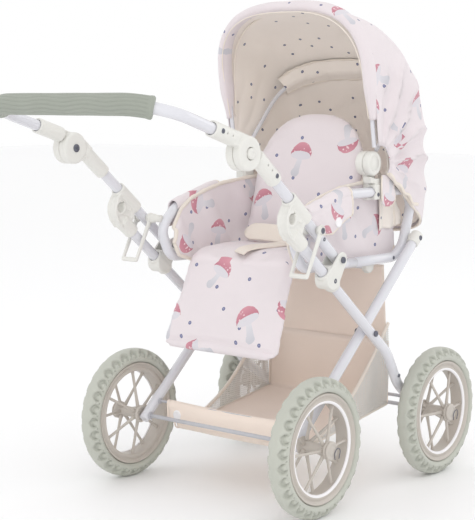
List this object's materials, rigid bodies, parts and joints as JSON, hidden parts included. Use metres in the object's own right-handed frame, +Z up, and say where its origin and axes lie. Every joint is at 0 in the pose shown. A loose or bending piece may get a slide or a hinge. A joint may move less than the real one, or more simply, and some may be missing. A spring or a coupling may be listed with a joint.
{
  "type": "doll stroller",
  "caption": "Folding doll stroller with a hooded seat, crossed legs, four spoked wheels, an adjustable push handle and a basket.",
  "frame": {"origin": "on the ground, at the middle of the stroller's length and width", "axes": "+X is the direction of travel, towards the hooded end; +Y is the left side; +Z is up"},
  "size_m": [0.6727, 0.3714, 0.658],
  "materials": {
    "painted_tube": "glossy white powder coat with a cool cast",
    "white_plastic": "satin off-white moulded plastic",
    "sage_rubber": "matt sage green tyre rubber",
    "sage_grip": "ribbed soft sage green grip",
    "beige_plastic": "warm grey-beige moulded plastic",
    "steel": "plated steel",
    "printed_fabric": "pale pink woven fabric with a printed pattern",
    "lining_fabric": "beige woven lining",
    "basket_fabric": "peach-beige woven fabric",
    "binding": "cream binding tape and webbing",
    "mesh_fabric": "white open mesh"
  },
  "bodies": {
    "chassis": {"front_leg_left": "painted_tube", "front_leg_right": "painted_tube", "pivot_bracket_left": "white_plastic", "pivot_bracket_right": "white_plastic", "fold_pin_left": "steel", "fold_pin_right": "steel", "crossing_rivet_left": "steel", "crossing_rivet_right": "steel", "axle_front_left": "beige_plastic", "axle_front_right": "beige_plastic", "front_axle_rod": "painted_tube", "basket_rod": "painted_tube", "basket": "basket_fabric", "basket_back_panel": "basket_fabric"},
    "rear_legs": {"rear_leg_left": "painted_tube", "rear_leg_right": "painted_tube", "rear_axle_rod": "painted_tube", "basket_wire": "painted_tube", "axle_rear_left": "beige_plastic", "axle_rear_right": "beige_plastic"},
    "handle_frame": {"handle_lower_tube_left": "painted_tube", "handle_lower_tube_right": "painted_tube", "knuckle_lower_left": "white_plastic", "knuckle_lower_right": "white_plastic"},
    "handle_top": {"knuckle_upper_left": "white_plastic", "knuckle_upper_right": "white_plastic", "handle_top_tube": "painted_tube", "handle_grip": "sage_grip"},
    "button_left": {"angle_button_left": "white_plastic"},
    "button_right": {"angle_button_right": "white_plastic"},
    "latch_left": {"slide_latch_left": "white_plastic"},
    "latch_right": {"slide_latch_right": "white_plastic"},
    "stirrup_left": {"stirrup_lock_left": "white_plastic"},
    "stirrup_right": {"stirrup_lock_right": "white_plastic"},
    "seat_frame": {"seat_loop_left": "painted_tube", "seat_loop_right": "painted_tube", "seat_crossbar": "painted_tube", "hood_clamp_left": "white_plastic", "hood_clamp_right": "white_plastic", "canopy_rear": "printed_fabric", "seat_pad": "printed_fabric", "side_wing_left": "printed_fabric", "side_wing_right": "printed_fabric", "harness": "binding"},
    "back": {"backrest": "printed_fabric"},
    "foot": {"leg_rest": "printed_fabric"},
    "hood_front": {"hood_front_bow": "painted_tube", "canopy_front": "printed_fabric", "hood_disc_left": "white_plastic", "hood_disc_right": "white_plastic"},
    "hood_middle": {"hood_middle_bow": "painted_tube"},
    "rear_wheel_left": {"tyre_rear_left": "sage_rubber", "wheel_rear_left": "beige_plastic"},
    "rear_wheel_right": {"tyre_rear_right": "sage_rubber", "wheel_rear_right": "beige_plastic"},
    "front_wheel_left": {"tyre_front_left": "sage_rubber", "wheel_front_left": "beige_plastic"},
    "front_wheel_right": {"tyre_front_right": "sage_rubber", "wheel_front_right": "beige_plastic"}
  },
  "joints": [
    {"name": "frame_fold", "type": "hinge", "parent": "chassis", "child": "handle_frame", "pos_m": [0.0168, 0, 0.3224], "axis": [0, 1, 0], "range_deg": [0, 90], "deforming": ["basket_back_panel"]},
    {"name": "rear_leg_turn", "type": "hinge", "parent": "chassis", "child": "rear_legs", "pos_m": [0.1008, 0, 0.2165], "axis": [0, 1, 0], "range_deg": [0, 38.7]},
    {"name": "seat_frame_turn", "type": "hinge", "parent": "handle_frame", "child": "seat_frame", "pos_m": [-0.03433, 0, 0.36366], "axis": [0, -1, 0], "range_deg": [0, 60.93]},
    {"name": "stirrup_turn_left", "type": "hinge", "parent": "handle_frame", "child": "stirrup_left", "pos_m": [-0.03433, 0.1434, 0.36366], "axis": [0, 1, 0], "range_deg": [0, 36]},
    {"name": "stirrup_turn_right", "type": "hinge", "parent": "handle_frame", "child": "stirrup_right", "pos_m": [-0.03433, -0.1434, 0.36366], "axis": [0, 1, 0], "range_deg": [0, 36]},
    {"name": "handle_angle", "type": "hinge", "parent": "handle_frame", "child": "handle_top", "pos_m": [-0.1757, 0, 0.4624], "axis": [0, 1, 0], "range_deg": [-60, 30]},
    {"name": "backrest_recline", "type": "hinge", "parent": "seat_frame", "child": "back", "pos_m": [0.1268, 0, 0.326], "axis": [0, 1, 0], "range_deg": [0, 30]},
    {"name": "leg_rest_lift", "type": "hinge", "parent": "seat_frame", "child": "foot", "pos_m": [0.0008, 0, 0.306], "axis": [0, 1, 0], "range_deg": [0, 65]},
    {"name": "hood_fold", "type": "hinge", "parent": "seat_frame", "child": "hood_front", "pos_m": [0.1398, 0, 0.441], "axis": [0, 1, 0], "range_deg": [0, 42]},
    {"name": "hood_middle_turn", "type": "hinge", "parent": "seat_frame", "child": "hood_middle", "pos_m": [0.1398, 0, 0.441], "axis": [0, 1, 0], "range_deg": [0, 21]},
    {"name": "latch_slide_left", "type": "slide", "parent": "handle_frame", "child": "latch_left", "axis": [-0.7782, 0, 0.628], "range_m": [0, 0.025]},
    {"name": "button_press_left", "type": "slide", "parent": "handle_top", "child": "button_left", "axis": [0, -1, 0], "range_m": [0, 0.0025], "stiffness_N_per_m": 400},
    {"name": "latch_slide_right", "type": "slide", "parent": "handle_frame", "child": "latch_right", "axis": [-0.7782, 0, 0.628], "range_m": [0, 0.025]},
    {"name": "button_press_right", "type": "slide", "parent": "handle_top", "child": "button_right", "axis": [0, 1, 0], "range_m": [0, 0.0025], "stiffness_N_per_m": 400},
    {"name": "rear_wheel_spin_left", "type": "hinge", "parent": "rear_legs", "child": "rear_wheel_left", "pos_m": [-0.0452, 0.1596, 0.09], "axis": [0, 1, 0], "continuous": true},
    {"name": "rear_wheel_spin_right", "type": "hinge", "parent": "rear_legs", "child": "rear_wheel_right", "pos_m": [-0.0452, -0.1596, 0.09], "axis": [0, 1, 0], "continuous": true},
    {"name": "front_wheel_spin_left", "type": "hinge", "parent": "chassis", "child": "front_wheel_left", "pos_m": [0.2468, 0.1596, 0.09], "axis": [0, 1, 0], "continuous": true},
    {"name": "front_wheel_spin_right", "type": "hinge", "parent": "chassis", "child": "front_wheel_right", "pos_m": [0.2468, -0.1596, 0.09], "axis": [0, 1, 0], "continuous": true}
  ],
  "couplings": [
    {"joint": "rear_leg_turn", "follows": "frame_fold", "ratio": 0.43},
    {"joint": "seat_frame_turn", "follows": "frame_fold", "ratio": 0.677},
    {"joint": "stirrup_turn_left", "follows": "frame_fold", "ratio": 0.4},
    {"joint": "stirrup_turn_right", "follows": "frame_fold", "ratio": 0.4},
    {"joint": "hood_middle_turn", "follows": "hood_fold", "ratio": 0.5}
  ]
}
